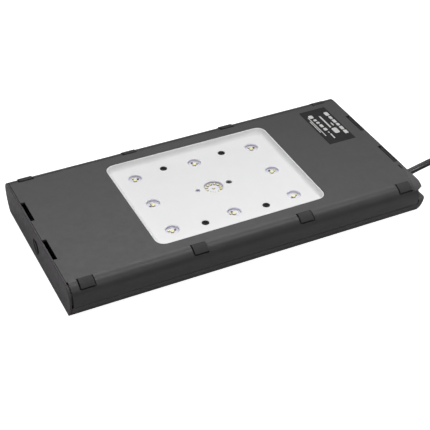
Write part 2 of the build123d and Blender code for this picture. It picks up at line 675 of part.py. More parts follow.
def fan_screws():
    half = FAN_HOLE_PITCH / 2
    screws = []
    for x, y in corners(half, half):
        head = Pos(x, y, 0.85) * Cone(3.05, 1.45, 1.6)
        screw = head + post(x, y, 1.45, 1.0, 10.5)
        screw -= [
            block(x - 1.7, x + 1.7, y - 0.35, y + 0.35, -1, 0.7),
            block(x - 0.35, x + 0.35, y - 1.7, y + 1.7, -1, 0.7),
        ]
        screws.append(screw)
    return screws


def fan_guard():
    guard = post(0, 0, GUARD_RADIUS, 0.2, 1.15) - post(0, 0, GUARD_RADIUS - 2.4, -1, 5)
    for radius in (16.5, 21.0, 25.5, 30.0, 34.5):
        guard += post(0, 0, radius, 0.2, 1.9) - post(0, 0, radius - 1.3, -1, 5)
    guard += post(0, 0, 12.0, 0.2, 1.9)
    for k in range(8):
        guard += Rot(0, 0, 22.5 + 45 * k) * block(10, GUARD_RADIUS - 1.9, -0.8, 0.8, 0.2, 1.9)
    return guard & (post(0, 0, 39.2, 0, 5) + post(0, 0, 45, 0, 1.15))


# ---------------------------------------------------------------- electronics
def driver_board():
    board = block(92, 158, -40, 60, PCB_LOW, PCB_TOP)
    return board - [post(x, y, 1.4, 0, 20) for x, y in DRIVER_SCREWS]


def driver_inductors():
    return [post(106, y, 6.5, PCB_TOP, 16.0) - post(106, y, 2.6, 0, 30) for y in (-4, 12, 28, 44)]


def driver_capacitors():
    caps = []
    for y in (16, 29, 42):
        can = post(144, y, 5.0, PCB_TOP, 21.0)
        caps.append(fillet(can.edges().filter_by(GeomType.CIRCLE).group_by(Axis.Z)[-1], 0.6))
    return caps


def driver_chips():
    return [block(120, 127, y - 4, y + 4, PCB_TOP, PCB_TOP + 1.8) for y in (-4, 12, 28, 44)]


def cord_terminal():
    return block(108, 122, -38, -27, PCB_TOP, 17.0) - block(107, 123, -39, -34, 13.5, 18)


def control_board():
    board = block(-152, -96, -45, 45, PCB_LOW, PCB_TOP)
    return board - [post(x, y, 1.4, 0, 20) for x, y in CONTROL_SCREWS]


def wireless_shield():
    can = block(-146, -124, 8, 26, PCB_TOP, PCB_TOP + 3.2)
    return can - block(-145.6, -124.4, 8.4, 25.6, PCB_TOP - 1, PCB_TOP + 2.8)


def control_chips():
    return [
        block(-124, -110, -20, -6, PCB_TOP, PCB_TOP + 1.4),
        block(-142, -134, -16, -8, PCB_TOP, PCB_TOP + 1.2),
    ]


def board_screws():
    return [
        cap_screw(x, y, 1.2, 2.5, 4.0, PCB_TOP, PCB_TOP + 1.6)
        for x, y in BOARD_SCREWS
    ]


def button_bezel():
    ring = pin_x(0, BUTTON_Z, BEZEL_RADIUS, -174.3, -173.7)
    ring += pin_x(0, BUTTON_Z, 6.8, -174.0, -170.6)
    return ring - pin_x(0, BUTTON_Z, BUTTON_RADIUS + 0.5, -180, -160)


def mode_button():
    button = pin_x(0, BUTTON_Z, BUTTON_RADIUS, BUTTON_FACE, -169.6)
    button = fillet(button.edges().filter_by(GeomType.CIRCLE).group_by(Axis.X)[0], 0.6)
    button += pin_x(0, BUTTON_Z, 6.7, -170.4, -169.4)
    button += pin_x(0, BUTTON_Z, 2.0, -169.5, -168.2)
    return button - Pos(BUTTON_FACE - 29.6, 0, BUTTON_Z) * Sphere(30)


def button_switch():
    body = block(-166.9, -163.4, -3.1, 3.1, BUTTON_Z - 3.1, BUTTON_Z + 3.1)
    return body + pin_x(0, BUTTON_Z, 1.7, -167.65, -166.5)


def button_board():
    return block(-163.4, -161.8, -15.5, 15.5, 8.2, 24)


# ---------------------------------------------------------------- leads inside
INNER_LEADS = {
    "fan_lead": (1.1, [(40.0, 25, 6.5), (62, 25, 6.5), (80, 20, 8.4), (91, 15, 13), (98.5, 13, 8.6)]),
    "led_lead": (0.7, [(75.0, -45, 24.6), (86, -45, 24.6), (96, -42, 18), (101, -30, 12), (102, -22, 8.6)]),
    "data_lead": (1.0, [
        (-115, 45.0, 7.8), (-115, 57, 7.8), (-100, 68.5, 6.5), (0, 69.5, 6.5), (100, 68.5, 6.5),
        (116, 66, 7.8), (119, 60.0, 7.8),
    ]),
    "button_lead": (0.8, [(-161.8, 6, 20), (-155, 6, 20), (-150, 6, 15), (-148, 4, 8.6)]),
}


def supply_wires():
    """The cord's two cores, from its stripped end to the terminal block."""
    wires = []
    for side, end_x in ((-1.5, 118.5), (1.5, 111.5)):
        start = on_cord(141, side)
        ahead = on_cord(129, side)
        points = [tuple(start), tuple(ahead), (end_x, -57, 20), (end_x, -46, 12.0), (end_x, -38.0, 11.0)]
        wires.append(tube(points, 1.2)[0])
    return wires


def cable_clamp():
    middle = on_cord(150)
    clamp = block(146, 154, middle.Y - 11, middle.Y + 11, CORD_Z + 0.2, 29.2)
    clamp -= (Plane(origin=on_cord(120), z_dir=CORD_DIRECTION).location * Pos(0, 0, 30)
              * Cylinder(CORD_RADIUS + 0.05, 60))
    for offset in (-8, 8):
        point = on_cord(150, offset)
        clamp -= post(point.X, point.Y, 1.4, 20, ABOVE)
    return clamp


def clamp_screws():
    screws = []
    for offset in (-8, 8):
        point = on_cord(150, offset)
        screws.append(cap_screw(point.X, point.Y, 1.2, 2.5, 13.0, 29.2, 30.8))
    return screws


def cover_screws():
    return [
        cap_screw(x, y, 1.25, 3.1, 24.0, 4.0, 1.9, upward=False)
        for x, y in corners(COVER_SCREW_X, COVER_SCREW_Y)
    ]


def mount_inserts():
    return [
        post(x, y, INSERT_RADIUS, 0.1, 5.5) - post(x, y, INSERT_BORE, -1, 5.0)
        for x, y in corners(INSERT_X, INSERT_Y)
    ]


# ---------------------------------------------------------------- cord and plug
def strain_relief():
    """Tapered boot: flange behind the cap's wall, neck through it, ribbed cone outside."""
    start = on_cord(163.0)
    tip = (on_cord(BOOT_TIP_X) - start).length
    profile = [
        (CORD_RADIUS, 0), (6.8, 0), (6.8, 1.6), (5.2, 1.6), (5.2, 7.6), (5.6, 7.6), (5.6, 8.8),
        (5.0, 8.8), (4.9, 10.2), (4.6, 10.4), (4.5, 12.0), (4.2, 12.2), (4.1, 13.8), (3.9, 14.0),
        (3.6, tip), (CORD_RADIUS, tip),
    ]
    return turned_along(profile, start, CORD_DIRECTION)


def cord_tail():
    """Jacketed end of the cord inside the boot and the clamp."""
    start = on_cord(141)
    length = (on_cord(JOIN_X) - start).length
    rod = Pos(0, 0, length / 2) * Cylinder(CORD_RADIUS, length)
    return Plane(origin=start, z_dir=CORD_DIRECTION).location * rod


def coil_ring(inner, outer, low, high, corner):
    section = Plane.XZ * Pos((inner + outer) / 2, (low + high) / 2) * RectangleRounded(
        outer - inner, high - low, corner)
    return Pos(COIL_CENTRE[0], COIL_CENTRE[1], 0) * revolve(section, Axis.Z)


def power_cord_coil():
    return coil_ring(COIL_INNER, COIL_OUTER, COIL_LOW, COIL_HIGH, 3.0)


def cord_tie():
    strap = coil_ring(COIL_INNER - 0.5, COIL_OUTER + 0.5, 0.0, COIL_HIGH + 0.5, 3.3)
    strap -= coil_ring(COIL_INNER, COIL_OUTER, COIL_LOW, COIL_HIGH, 3.0)
    x, y = COIL_CENTRE
    return strap & block(x + 10, x + 60, y - 6, y + 6, -1, 20)


def plug_body():
    profile = [
        (0, 0), (4.0, 0), (4.4, 7.0), (5.4, 9.0), (5.5, 12.0), (5.5, PLUG_LENGTH - 1.0),
        (4.9, PLUG_LENGTH), (0, PLUG_LENGTH),
    ]
    return turned_along(profile, TAIL_ROUTE[-1], Vector(-1, 0, 0))


def plug_barrel():
    profile = [
        (1.25, PLUG_LENGTH), (BARREL_RADIUS, PLUG_LENGTH),
        (BARREL_RADIUS, PLUG_LENGTH + BARREL_LENGTH), (1.25, PLUG_LENGTH + BARREL_LENGTH),
    ]
    return turned_along(profile, TAIL_ROUTE[-1], Vector(-1, 0, 0))


# ---------------------------------------------------------------- writing the pieces
def place(shape):
    """Centre the housing on X = 0; a list becomes one node of separate solids."""
    items = shape if isinstance(shape, list) else [shape]
    solids = [Pos(CENTRE_SHIFT, 0, 0) * solid for item in items for solid in item.solids()]
    return solids[0] if len(solids) == 1 else Compound(children=solids)


def write(name, shape):
    export_step(place(shape), f"parts/{name}.step")


def write_tube(name, points, radius):
    solid, length = tube(points, radius)
    drift = solid.volume / (math.pi * radius**2 * length)
    radii = [round(value, 1) for value in bend_radii(points)]
    print(f"{name}: length {length:.1f} mm, volume ratio {drift:.4f}, bend radii {radii}")
    write(name, solid)


def main():
    os.makedirs("parts", exist_ok=True)
    pieces = [
        light_side_cover, back_cover, left_end_cap, right_end_cap, cable_entry_cover, rating_label,
        reflector_panel, panel_gasket, cluster_leds, colour_leds, centre_leds, light_sensor, heat_sink,
        panel_screws, heat_sink_screws, fan_frame, fan_bearing, fan_stator, fan_magnet, fan_rotor,
        fan_shaft, fan_screws, fan_guard, driver_board, driver_inductors, driver_capacitors,
        driver_chips, cord_terminal, control_board, wireless_shield, control_chips, board_screws,
        button_bezel, mode_button, button_switch, button_board, supply_wires, cable_clamp,
        clamp_screws, cover_screws, mount_inserts, strain_relief, cord_tail, power_cord_coil,
        cord_tie, plug_body, plug_barrel,
    ]
    for piece in pieces:
        write(piece.__name__, piece())
    write("led_board", slab_with_holes(BOARD_LOW, BOARD_TOP))
    write("thermal_pad", slab_with_holes(SINK_TOP, BOARD_LOW))
    centre_cavity = CENTRE_CHIP_RING + RING_CHIP + LENS_CLEARANCE
    side_cavity = SIDE_CHIP_RING + SIDE_CHIP + LENS_CLEARANCE
    write("centre_lens", lens(0, 0, CENTRE_WINDOW_RADIUS - LENS_FIT, centre_cavity))
    write("cluster_lenses", [lens(x, y, WINDOW_RADIUS - LENS_FIT, side_cavity) for x, y in cluster_spots()])
    for name, (radius, points) in INNER_LEADS.items():
        write_tube(name, points, radius)
    write_tube("power_cord", CORD_ROUTE, CORD_RADIUS)
    write_tube("power_cord_end", TAIL_ROUTE, CORD_RADIUS)


main()
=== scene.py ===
import json
import math

import bpy
from mathutils import Matrix, Vector

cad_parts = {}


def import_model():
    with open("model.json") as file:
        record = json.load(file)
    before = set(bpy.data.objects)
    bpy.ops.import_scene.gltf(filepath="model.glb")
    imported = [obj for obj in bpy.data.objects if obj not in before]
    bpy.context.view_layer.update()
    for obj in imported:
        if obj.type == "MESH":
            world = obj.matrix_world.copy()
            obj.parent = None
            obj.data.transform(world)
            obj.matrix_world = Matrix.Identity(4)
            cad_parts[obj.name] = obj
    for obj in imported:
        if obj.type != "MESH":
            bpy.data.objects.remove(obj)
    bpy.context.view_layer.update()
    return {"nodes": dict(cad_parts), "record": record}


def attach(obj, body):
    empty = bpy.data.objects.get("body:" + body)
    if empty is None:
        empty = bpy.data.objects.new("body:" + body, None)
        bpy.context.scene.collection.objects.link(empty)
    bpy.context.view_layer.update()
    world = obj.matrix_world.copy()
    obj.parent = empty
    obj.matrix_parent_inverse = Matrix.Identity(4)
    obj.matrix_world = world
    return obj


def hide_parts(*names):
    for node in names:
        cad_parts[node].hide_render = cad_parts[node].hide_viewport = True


# The looks of the aquarium light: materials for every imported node, the power cord on its
# real route, and the studio it stands in. What goes to Blender is in metres, in the packed
# frame. The sizes named below are in millimetres, unless their comment says otherwise.

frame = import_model()
nodes = frame["nodes"]
SLOT_OF = {part["node"]: part["material_slot"] for part in frame["record"]["subparts"]}

MM = 0.001
CENTRE_SHIFT = -1.7          # along X, from the lit face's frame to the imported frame

# ---- power cord: route from the boot to the coil, and from the coil to the plug ----
CORD_RADIUS = 3.2
CORD_ROUTE = [(177.0, -55.25, 24.0), (214.0, -46.7, 24.0), (239.0, -38.4, 17.5), (264.0, -33.4, 10.1)]
TAIL_ROUTE = [(300.5, -101.5, 3.7), (290.5, -122.0, 4.2), (270.0, -131.5, 5.6), (250.0, -131.5, 5.6)]

# ---- coil: its turns run inwards on top, go down, and run outwards below ----
COIL_CENTRE = (262.0, -78.0)
COIL_TOP = 10.1              # heights of the cord's axis in the two layers
COIL_BOTTOM = 3.7
WIDEST_TURN = 44.8
TURN_RADII = [WIDEST_TURN - 2 * CORD_RADIUS * lane for lane in (0, 1, 2, 3, 3, 2, 1, 0)]
TURN_POINTS = 16             # control points in each turn
LAST_POINT = 116             # the coil ends a quarter into its last turn
LANE_CHANGE = (0.70, 0.88)   # share of a turn over which the cord moves to the next radius
DROP = (3.80, 3.98)          # turns over which it goes down a layer

# ---- tie round the coil ----
TIE_WIDTH = 12.0
TIE_END_WIDTH = 8.64
TIE_THICKNESS = 0.45
TIE_START = (30.0, 38.0)     # radii of its first two steps, on top of the coil
TIE_CORNER_STEPS = 6
# the free end climbs over the start and lies on it: (radius, drop from its full height)
TIE_LAP = [(27.0, 0.45), (28.6, 0.2), (30.4, 0.0), (36.0, 0.0), (40.5, 0.0), (43.5, 0.02)]
TIE_LAP_GAP = 0.05
# the strap's section, in shares of its half width and half thickness
TIE_SECTION = [
    (-1, 0.4), (-0.96, 1), (0, 1), (0.96, 1), (1, 0.4),
    (1, -0.4), (0.96, -1), (0, -1), (-0.96, -1), (-1, -0.4),
]

# ---- plug: its outline, as (distance from the cord's end, radius) ----
PLUG_RADIUS = 5.5
PLUG_FACE = [(0.0, 3.3), (0.0, 3.9)]
PLUG_SWELL = [(8.8, 4.6), (10.0, 5.2), (11.4, 5.45), (13.0, PLUG_RADIUS), (13.4, PLUG_RADIUS)]
PLUG_NOSE = [
    (23.6, PLUG_RADIUS), (24.0, PLUG_RADIUS), (27.0, PLUG_RADIUS),
    (28.6, 5.35), (29.5, 5.0), (30.0, 4.4), (30.0, 2.75),
]
PLUG_EDGE = 0.15             # rounding of its edges
NECK_RINGS = 3
NECK_START = (0.5, 4.2)      # where the first ring of the neck is
NECK_STEP = (2.7, 0.1)       # how much further and wider each next one is
NECK_RING = [(0.0, 0.0), (1.1, 0.0), (1.5, -0.5), (2.3, -0.5)]   # a ring and the groove after it
GRIP_PLACES = [14.2, 16.0, 18.5, 21.0, 22.8]   # sections with the full depth of grip
GRIP_COUNT = 14
GRIP_DEPTH = 0.45
GRIP_POINTS = 6              # points round each grip

# ---- rows printed on the label: (x, y from, y to, width), generic bars only ----
LABEL_TOP = 33.65
LABEL_ROWS = [
    (153.6, 60.5, 53.5, 4.2), (153.8, 52.0, 46.5, 3.2), (154.0, 45.2, 39.0, 3.4), (154.2, 37.8, 33.0, 3.2),
    (154.4, 31.6, 25.2, 3.6), (154.6, 24.0, 17.6, 4.0),
    (144.9, 56.2, 33.5, 1.7), (149.3, 41.0, 35.4, 1.4), (146.7, 31.6, 22.0, 5.6),
    (136.2, 61.2, 55.4, 4.6), (137.2, 53.2, 49.6, 3.4), (137.6, 48.0, 44.4, 3.4), (138.0, 42.6, 37.2, 3.4),
    (138.4, 35.2, 30.4, 3.8), (138.8, 28.0, 25.6, 1.3), (139.0, 23.8, 15.2, 1.4),
    (133.0, 58.4, 21.8, 0.9), (131.3, 51.4, 29.4, 0.9),
]
BAR_ROUNDING = 0.3           # corner radius as a share of a bar's shorter side
INK_SUNK = 0.02
INK_PROUD = 0.03

# ---- light-side cover and end caps. The cap with the button is duller and speckled ----
FRONT_FINISH = dict(colour=(0.042, 0.041, 0.042), roughness=0.38, grain=0.35, depth=0.010, specular=0.45)
CAP_START = -174.5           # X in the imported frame, where that cap begins
CAP_COLOUR = (0.065, 0.058, 0.065)
CAP_SPECKLE = (0.082, 0.074, 0.082)
CAP_SPECULAR = 0.15

# ---- back cover. X and Z limits in the imported frame, of where shade is painted on it ----
BACK_FINISH = dict(colour=(0.090, 0.086, 0.089), roughness=0.66, depth=0.05, specular=0.25)
# painted shade: the snap hooks darker than the rest of the same moulding
HOOK_SHADE = (0.040, 0.038, 0.040)
HOOK_ROOT = 28.0             # the snap hooks are above this height
HOOKS_END = 162.2            # and before this X
# painted shade: near black in the joint between the covers, where shade falls
GAP_SHADE = (0.004, 0.004, 0.004)
JOINT_HEIGHT = 11.43         # the joint begins at this height in the middle of the light
JOINT_SLOPE = 0.00216        # and lower by this for each unit of X
JOINT_TOP = 20.0
JOINT_END = 165.7
FOOT_GAP_X = (166.3, 168.45)   # the gap beside the foot gets the same painted shade as the joint
FOOT_GAP_Z = (13.6, 28.0)

# ---- reflector panel ----
PANEL_FINISH = dict(
    colour=(0.79, 0.79, 0.79), roughness=0.34, grain=1.0, depth=0.003, mottle=0.01, swing=0.03,
)
WINDOW_TOP = 27.95           # the walls of its windows are below this height
# painted shade: cool lavender on the walls of the windows
WINDOW_WALL_SHADE = (0.90, 0.88, 1.0)

# ---- LED chips ----
CHIP_TOP = (0.96, 0.88, 0.42)
# painted shade: the sides of the chips are dark; the pale top is the phosphor's own colour
CHIP_SIDE_SHADE = (0.16, 0.12, 0.02)
CHIP_FACING = (0.75, 0.95)   # upward part of the surface's direction, where side turns into top
CHIP_ROUGHNESS = (0.2, 0.35)

# ---- clear lenses ----
LENS_DIM = (0.80, 0.80, 0.90)
LENS_CLEAR = (0.90, 0.90, 0.98)
LENS_ALPHA = 0.06
LENS_ROUGHNESS = (0.02, 0.08)

# ---- surface detail: scales of noise in features per metre ----
MOTTLE_SCALE = 60
GLOSS_SCALE = 220
SPECKLE_SCALE = 700
SMUDGE_SCALE = 400
HAZE_SCALE = 300
FLOOR_SCALE = 3
GRAIN_STRENGTH = 0.6
EDGE_BLUR = 0.03             # millimetres, half the width over which one colour turns into the next

# ---- finishes of the other slots, and of the label's ink, as moulded() and metal() take them ----
PLASTICS = {
    "led_colour": dict(colour=(0.05, 0.045, 0.09), roughness=0.2, grain=0.2, depth=0.005, mottle=0.1),
    "sensor_black": dict(colour=(0.008, 0.008, 0.009), roughness=0.15, depth=0.003),
    "screw_black": dict(colour=(0.006, 0.006, 0.007), roughness=0.45, grain=0.15, depth=0.01, specular=0.2),
    "led_substrate": dict(colour=(0.84, 0.84, 0.90), roughness=0.35, grain=0.4, depth=0.004, mottle=0.02),
    "thermal_silicone": dict(colour=(0.30, 0.33, 0.40), roughness=0.7, grain=0.4),
    "gasket_rubber": dict(colour=(0.012, 0.012, 0.012), roughness=0.75, grain=0.4),
    "fan_plastic": dict(colour=(0.016, 0.016, 0.018), roughness=0.42, grain=0.4),
    "magnet_ferrite": dict(colour=(0.03, 0.03, 0.03), roughness=0.7, grain=0.3),
    "circuit_board": dict(colour=(0.012, 0.11, 0.045), roughness=0.3, grain=0.8, depth=0.01, mottle=0.2),
    "inductor_ferrite": dict(colour=(0.14, 0.055, 0.02), roughness=0.35, grain=0.6, depth=0.08, mottle=0.2),
    "chip_black": dict(colour=(0.012, 0.012, 0.013), roughness=0.5, grain=0.2, depth=0.01),
    "terminal_plastic": dict(colour=(0.02, 0.11, 0.04), roughness=0.4, depth=0.01),
    "button_black": dict(colour=(0.003, 0.003, 0.003), roughness=0.3, grain=0.4, depth=0.003, specular=0.06),
    "wire_jacket": dict(colour=(0.25, 0.02, 0.02), roughness=0.45, grain=0.8, depth=0.01),
    "clamp_plastic": dict(colour=(0.02, 0.02, 0.02), roughness=0.5, grain=0.4),
    "cord_rubber": dict(colour=(0.020, 0.020, 0.021), roughness=0.28, grain=1.2, depth=0.002, specular=0.9),
    "tie_fabric": dict(colour=(0.012, 0.012, 0.013), roughness=0.85, depth=0.15, mottle=0.3),
    "plug_rubber": dict(colour=(0.012, 0.012, 0.012), roughness=0.42, grain=0.4),
    "label_black": dict(colour=(0.011, 0.011, 0.012), roughness=0.5, grain=0.6, depth=0.004, specular=0.2),
    "label_ink": dict(colour=(0.55, 0.55, 0.54), roughness=0.5, grain=0.3, depth=0.004, mottle=0.08),
}
METALS = {
    "screw_steel": dict(colour=(0.56, 0.56, 0.58), roughness=0.32),
    "insert_brass": dict(colour=(0.62, 0.43, 0.16), roughness=0.28),
    "sink_aluminium": dict(colour=(0.66, 0.67, 0.69), roughness=0.38, grain=0.5),
    "winding_copper": dict(colour=(0.55, 0.22, 0.09), roughness=0.35, depth=0.05),
    "capacitor_can": dict(colour=(0.62, 0.62, 0.64), roughness=0.3),
    "shield_steel": dict(colour=(0.62, 0.62, 0.61), roughness=0.28, grain=0.6, depth=0.006),
    "plug_metal": dict(colour=(0.68, 0.67, 0.65), roughness=0.18, grain=0.4, depth=0.004),
}

# ---- studio, in metres: (light's name, place, what it points at, size, watts) ----
LIGHTS = [
    ("back", (0.45, 0.95, 1.2), (0, 0, 0), (1.6, 0.7), 7.3),
    ("over_back", (-0.1, 0.6, 1.3), (0, 0, 0), (1.4, 0.6), 3.4),
    ("front", (-0.2, -1.2, 1.3), (0, 0, 0), (1, 0.6), 3.9),
    ("left", (-1.3, -0.35, 1.1), (0, 0, 0), (0.8, 0.5), 2.6),
    ("cord_side", (0.4, -0.21, 0.21), (0.2, -0.05, 0.02), (0.1, 0.1), 0.22),
    ("near_edge", (0.0, -0.1, 0.42), (0, -0.09, 0), (0.8, 0.1), 0.97),
]
WORLD_LIGHT = 0.13
FLOOR_GLOW = 0.9             # added to what the camera sees of the floor
FLOOR_DIM = (0.54, 0.54, 0.54)
FLOOR_PALE = (0.58, 0.58, 0.58)
FLOOR_HALF = 6.0
FLOOR_LEVEL = -0.0004        # just under the light, so that no two faces lie in one plane

# ---- camera, its place in metres and its angles in degrees ----
CAMERA_AIM = (-0.00145, -0.00228, -0.0040)
CAMERA_DISTANCE = 1.09       # from the point it looks at
CAMERA_TURN = 25.5977        # from looking along +Y towards looking along +X
CAMERA_TILT = 37.1026        # down from level
CAMERA_ROLL = 0.019
CAMERA_LENS = 96.28          # focal length and sensor width
CAMERA_SENSOR = 36


# ---------------------------------------------------------------- meshes
def metres(point):
    """A point of the lit face's frame, in millimetres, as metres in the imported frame."""
    x, y, z = point
    return Vector(((x + CENTRE_SHIFT) * MM, y * MM, z * MM))


def ease(value, start, end):
    """0 before start, 1 after end, and a smooth step between them."""
    share = min(1.0, max(0.0, (value - start) / (end - start)))
    return share * share * (3 - 2 * share)


def mesh(name, points, faces, smooth=True):
    """Mesh from points in millimetres of the lit face's frame."""
    data = bpy.data.meshes.new(name)
    data.from_pydata([metres(point) for point in points], [], faces)
    data.update()
    for face in data.polygons:
        face.use_smooth = smooth
    return data


def skin(rings):
    """Quads between neighbouring rings of equal length, with a face over each end."""
    size = len(rings[0])
    faces = []
    for k in range(len(rings) - 1):
        for i in range(size):
            after = (i + 1) % size
            faces.append((k * size + i, k * size + after, (k + 1) * size + after, (k + 1) * size + i))
    last = (len(rings) - 1) * size
    faces.append(tuple(reversed(range(size))))
    faces.append(tuple(range(last, last + size)))
    return [point for ring in rings for point in ring], faces


# ---------------------------------------------------------------- shader nodes
def noise(tree, scale, detail=3.0):
    """Noise over the object's own coordinates, scale in features per metre."""
    place = tree.nodes.new("ShaderNodeTexCoord")
    texture = tree.nodes.new("ShaderNodeTexNoise")
    texture.inputs["Scale"].default_value = scale
    texture.inputs["Detail"].default_value = detail
    texture.inputs["Roughness"].default_value = 0.55
    tree.links.new(place.outputs["Object"], texture.inputs["Vector"])
    return texture.outputs["Fac"]


def remap(tree, value, low, high, start=0.3, end=0.7):
    """Low up to start, high from end on. A noise's own range is about 0.3 to 0.7."""
    node = tree.nodes.new("ShaderNodeMapRange")
    node.inputs["From Min"].default_value = start
    node.inputs["From Max"].default_value = end
    node.inputs["To Min"].default_value = low
    node.inputs["To Max"].default_value = high
    tree.links.new(value, node.inputs["Value"])
    return node.outputs["Result"]


def above(tree, value, level):
    """0 below a level given in millimetres, 1 above it."""
    return remap(tree, value, 0, 1, (level - EDGE_BLUR) * MM, (level + EDGE_BLUR) * MM)


def below(tree, value, level):
    """1 below a level given in millimetres, 0 above it."""
    return remap(tree, value, 1, 0, (level - EDGE_BLUR) * MM, (level + EDGE_BLUR) * MM)


def product(tree, *factors):
    """Factors multiplied."""
    result = factors[0]
    for factor in factors[1:]:
        node = tree.nodes.new("ShaderNodeMath")
        node.operation = "MULTIPLY"
        tree.links.new(result, node.inputs[0])
        tree.links.new(factor, node.inputs[1])
        result = node.outputs["Value"]
    return result


def coordinates(tree, kind):
    """X, Y and Z of the object's own coordinates, kind Object, or of its surface's Normal."""
    place = tree.nodes.new("ShaderNodeTexCoord")
    split = tree.nodes.new("ShaderNodeSeparateXYZ")
    tree.links.new(place.outputs[kind], split.inputs["Vector"])
    return split.outputs


def blend_colour(tree, factor, first, second):
    """First colour where the factor is 0, second where it is 1."""
    node = tree.nodes.new("ShaderNodeMix")
    node.data_type = "RGBA"
    node.inputs["A"].default_value = (*first, 1)
    node.inputs["B"].default_value = (*second, 1)
    tree.links.new(factor, node.inputs["Factor"])
    return node.outputs["Result"]


def tint(tree, factor, colour):
    """Mix a colour over the shader's base colour."""
    shader = tree.nodes["Principled BSDF"]
    node = tree.nodes.new("ShaderNodeMix")
    node.data_type = "RGBA"
    node.inputs["B"].default_value = (*colour, 1)
    tree.links.new(factor, node.inputs["Factor"])
    tree.links.new(shader.inputs["Base Color"].links[0].from_socket, node.inputs["A"])
    tree.links.new(node.outputs["Result"], shader.inputs["Base Color"])


def bump(tree, shader, height, strength, distance):
    """Raise the surface by a height, for the shader."""
    node = tree.nodes.new("ShaderNodeBump")
    node.inputs["Strength"].default_value = strength
    node.inputs["Distance"].default_value = distance
    tree.links.new(height, node.inputs["Height"])
    tree.links.new(node.outputs["Normal"], shader.inputs["Normal"])


# ---------------------------------------------------------------- materials
def base_material(name):
    """A new material, its node tree and its shader."""
    material = bpy.data.materials.new(name)
    material.use_nodes = True
    tree = material.node_tree
    return material, tree, tree.nodes["Principled BSDF"]


def moulded(name, colour, roughness, grain=0.5, depth=0.02, mottle=0.06, swing=0.05, specular=0.5):
    """Moulded plastic or rubber: grain of a size and depth, faint mottling and uneven gloss.

    mottle is the colour's swing as a share of it, and swing is that of the roughness.
    """
    material, tree, shader = base_material(name)
    darker = [c * (1 - mottle) for c in colour]
    lighter = [min(1, c * (1 + mottle)) for c in colour]
    wide = remap(tree, noise(tree, MOTTLE_SCALE, 4), 0, 1)
    tree.links.new(blend_colour(tree, wide, darker, lighter), shader.inputs["Base Color"])
    gloss = remap(tree, noise(tree, GLOSS_SCALE, 4), roughness - swing, roughness + swing)
    tree.links.new(gloss, shader.inputs["Roughness"])
    shader.inputs["Specular IOR Level"].default_value = specular
    bump(tree, shader, noise(tree, 1 / (grain * MM)), GRAIN_STRENGTH, depth * MM)
    return material


def metal(name, colour, roughness, grain=0.3, depth=0.01):
    """Metal, with the grain and the uneven gloss of a moulding."""
    material = moulded(name, colour, roughness, grain, depth, mottle=0.04, swing=0.06)
    material.node_tree.nodes["Principled BSDF"].inputs["Metallic"].default_value = 1.0
    return material


def front_plastic(name):
    """Satin moulding. The end cap with the button is duller and speckled."""
    material = moulded(name, **FRONT_FINISH)
    tree = material.node_tree
    shader = tree.nodes["Principled BSDF"]
    on_cap = below(tree, coordinates(tree, "Object")["X"], CAP_START)
    speckle = remap(tree, noise(tree, SPECKLE_SCALE, 2), 0, 1, 0.4, 0.6)
    tint(tree, on_cap, CAP_COLOUR)
    tint(tree, product(tree, on_cap, speckle), CAP_SPECKLE)
    specular = remap(tree, on_cap, FRONT_FINISH["specular"], CAP_SPECULAR, 0, 1)
    tree.links.new(specular, shader.inputs["Specular IOR Level"])
    return material


def back_plastic(name):
    """Textured moulding, with shade painted on it: darker on the snap hooks, near black in the joint and in
    the gap by the foot.
    """
    material = moulded(name, **BACK_FINISH)
    tree = material.node_tree
    place = coordinates(tree, "Object")
    x, height = place["X"], place["Z"]
    level = tree.nodes.new("ShaderNodeMath")
    level.operation = "MULTIPLY_ADD"
    tree.links.new(x, level.inputs[0])
    level.inputs[1].default_value = JOINT_SLOPE
    tree.links.new(height, level.inputs[2])
    hook_shade_mask = product(tree, above(tree, height, HOOK_ROOT), below(tree, x, HOOKS_END))
    joint_shade_mask = product(
        tree,
        above(tree, level.outputs["Value"], JOINT_HEIGHT),
        below(tree, height, JOINT_TOP),
        below(tree, x, JOINT_END),
    )
    foot_gap_shade_mask = product(
        tree,
        above(tree, height, FOOT_GAP_Z[0]),
        below(tree, height, FOOT_GAP_Z[1]),
        above(tree, x, FOOT_GAP_X[0]),
        below(tree, x, FOOT_GAP_X[1]),
    )
    # painted shade on the hooks, in the joint and in the gap by the foot
    tint(tree, hook_shade_mask, HOOK_SHADE)
    tint(tree, joint_shade_mask, GAP_SHADE)
    tint(tree, foot_gap_shade_mask, GAP_SHADE)
    return material


def panel_plastic(name):
    """Smooth white plastic, with a cool lavender shade painted on the walls of its windows."""
    material = moulded(name, **PANEL_FINISH)
    tree = material.node_tree
    # painted shade on the window walls
    tint(tree, below(tree, coordinates(tree, "Object")["Z"], WINDOW_TOP), WINDOW_WALL_SHADE)
    return material


def emitter(name):
    """LED chip: pale phosphor on top, and shade painted dark on its sides."""
    material, tree, shader = base_material(name)
    top = remap(tree, coordinates(tree, "Normal")["Z"], 0, 1, *CHIP_FACING)
    # the sides' painted shade, and the phosphor on top
    tree.links.new(blend_colour(tree, top, CHIP_SIDE_SHADE, CHIP_TOP), shader.inputs["Base Color"])
    tree.links.new(remap(tree, noise(tree, SMUDGE_SCALE), *CHIP_ROUGHNESS), shader.inputs["Roughness"])
    return material


def clear_plastic(name):
    """Clear lens, with faint haze."""
    material, tree, shader = base_material(name)
    haze = blend_colour(tree, remap(tree, noise(tree, HAZE_SCALE), 0, 1), LENS_DIM, LENS_CLEAR)
    tree.links.new(haze, shader.inputs["Base Color"])
    shader.inputs["Alpha"].default_value = LENS_ALPHA
    tree.links.new(remap(tree, noise(tree, SMUDGE_SCALE), *LENS_ROUGHNESS), shader.inputs["Roughness"])
    return material


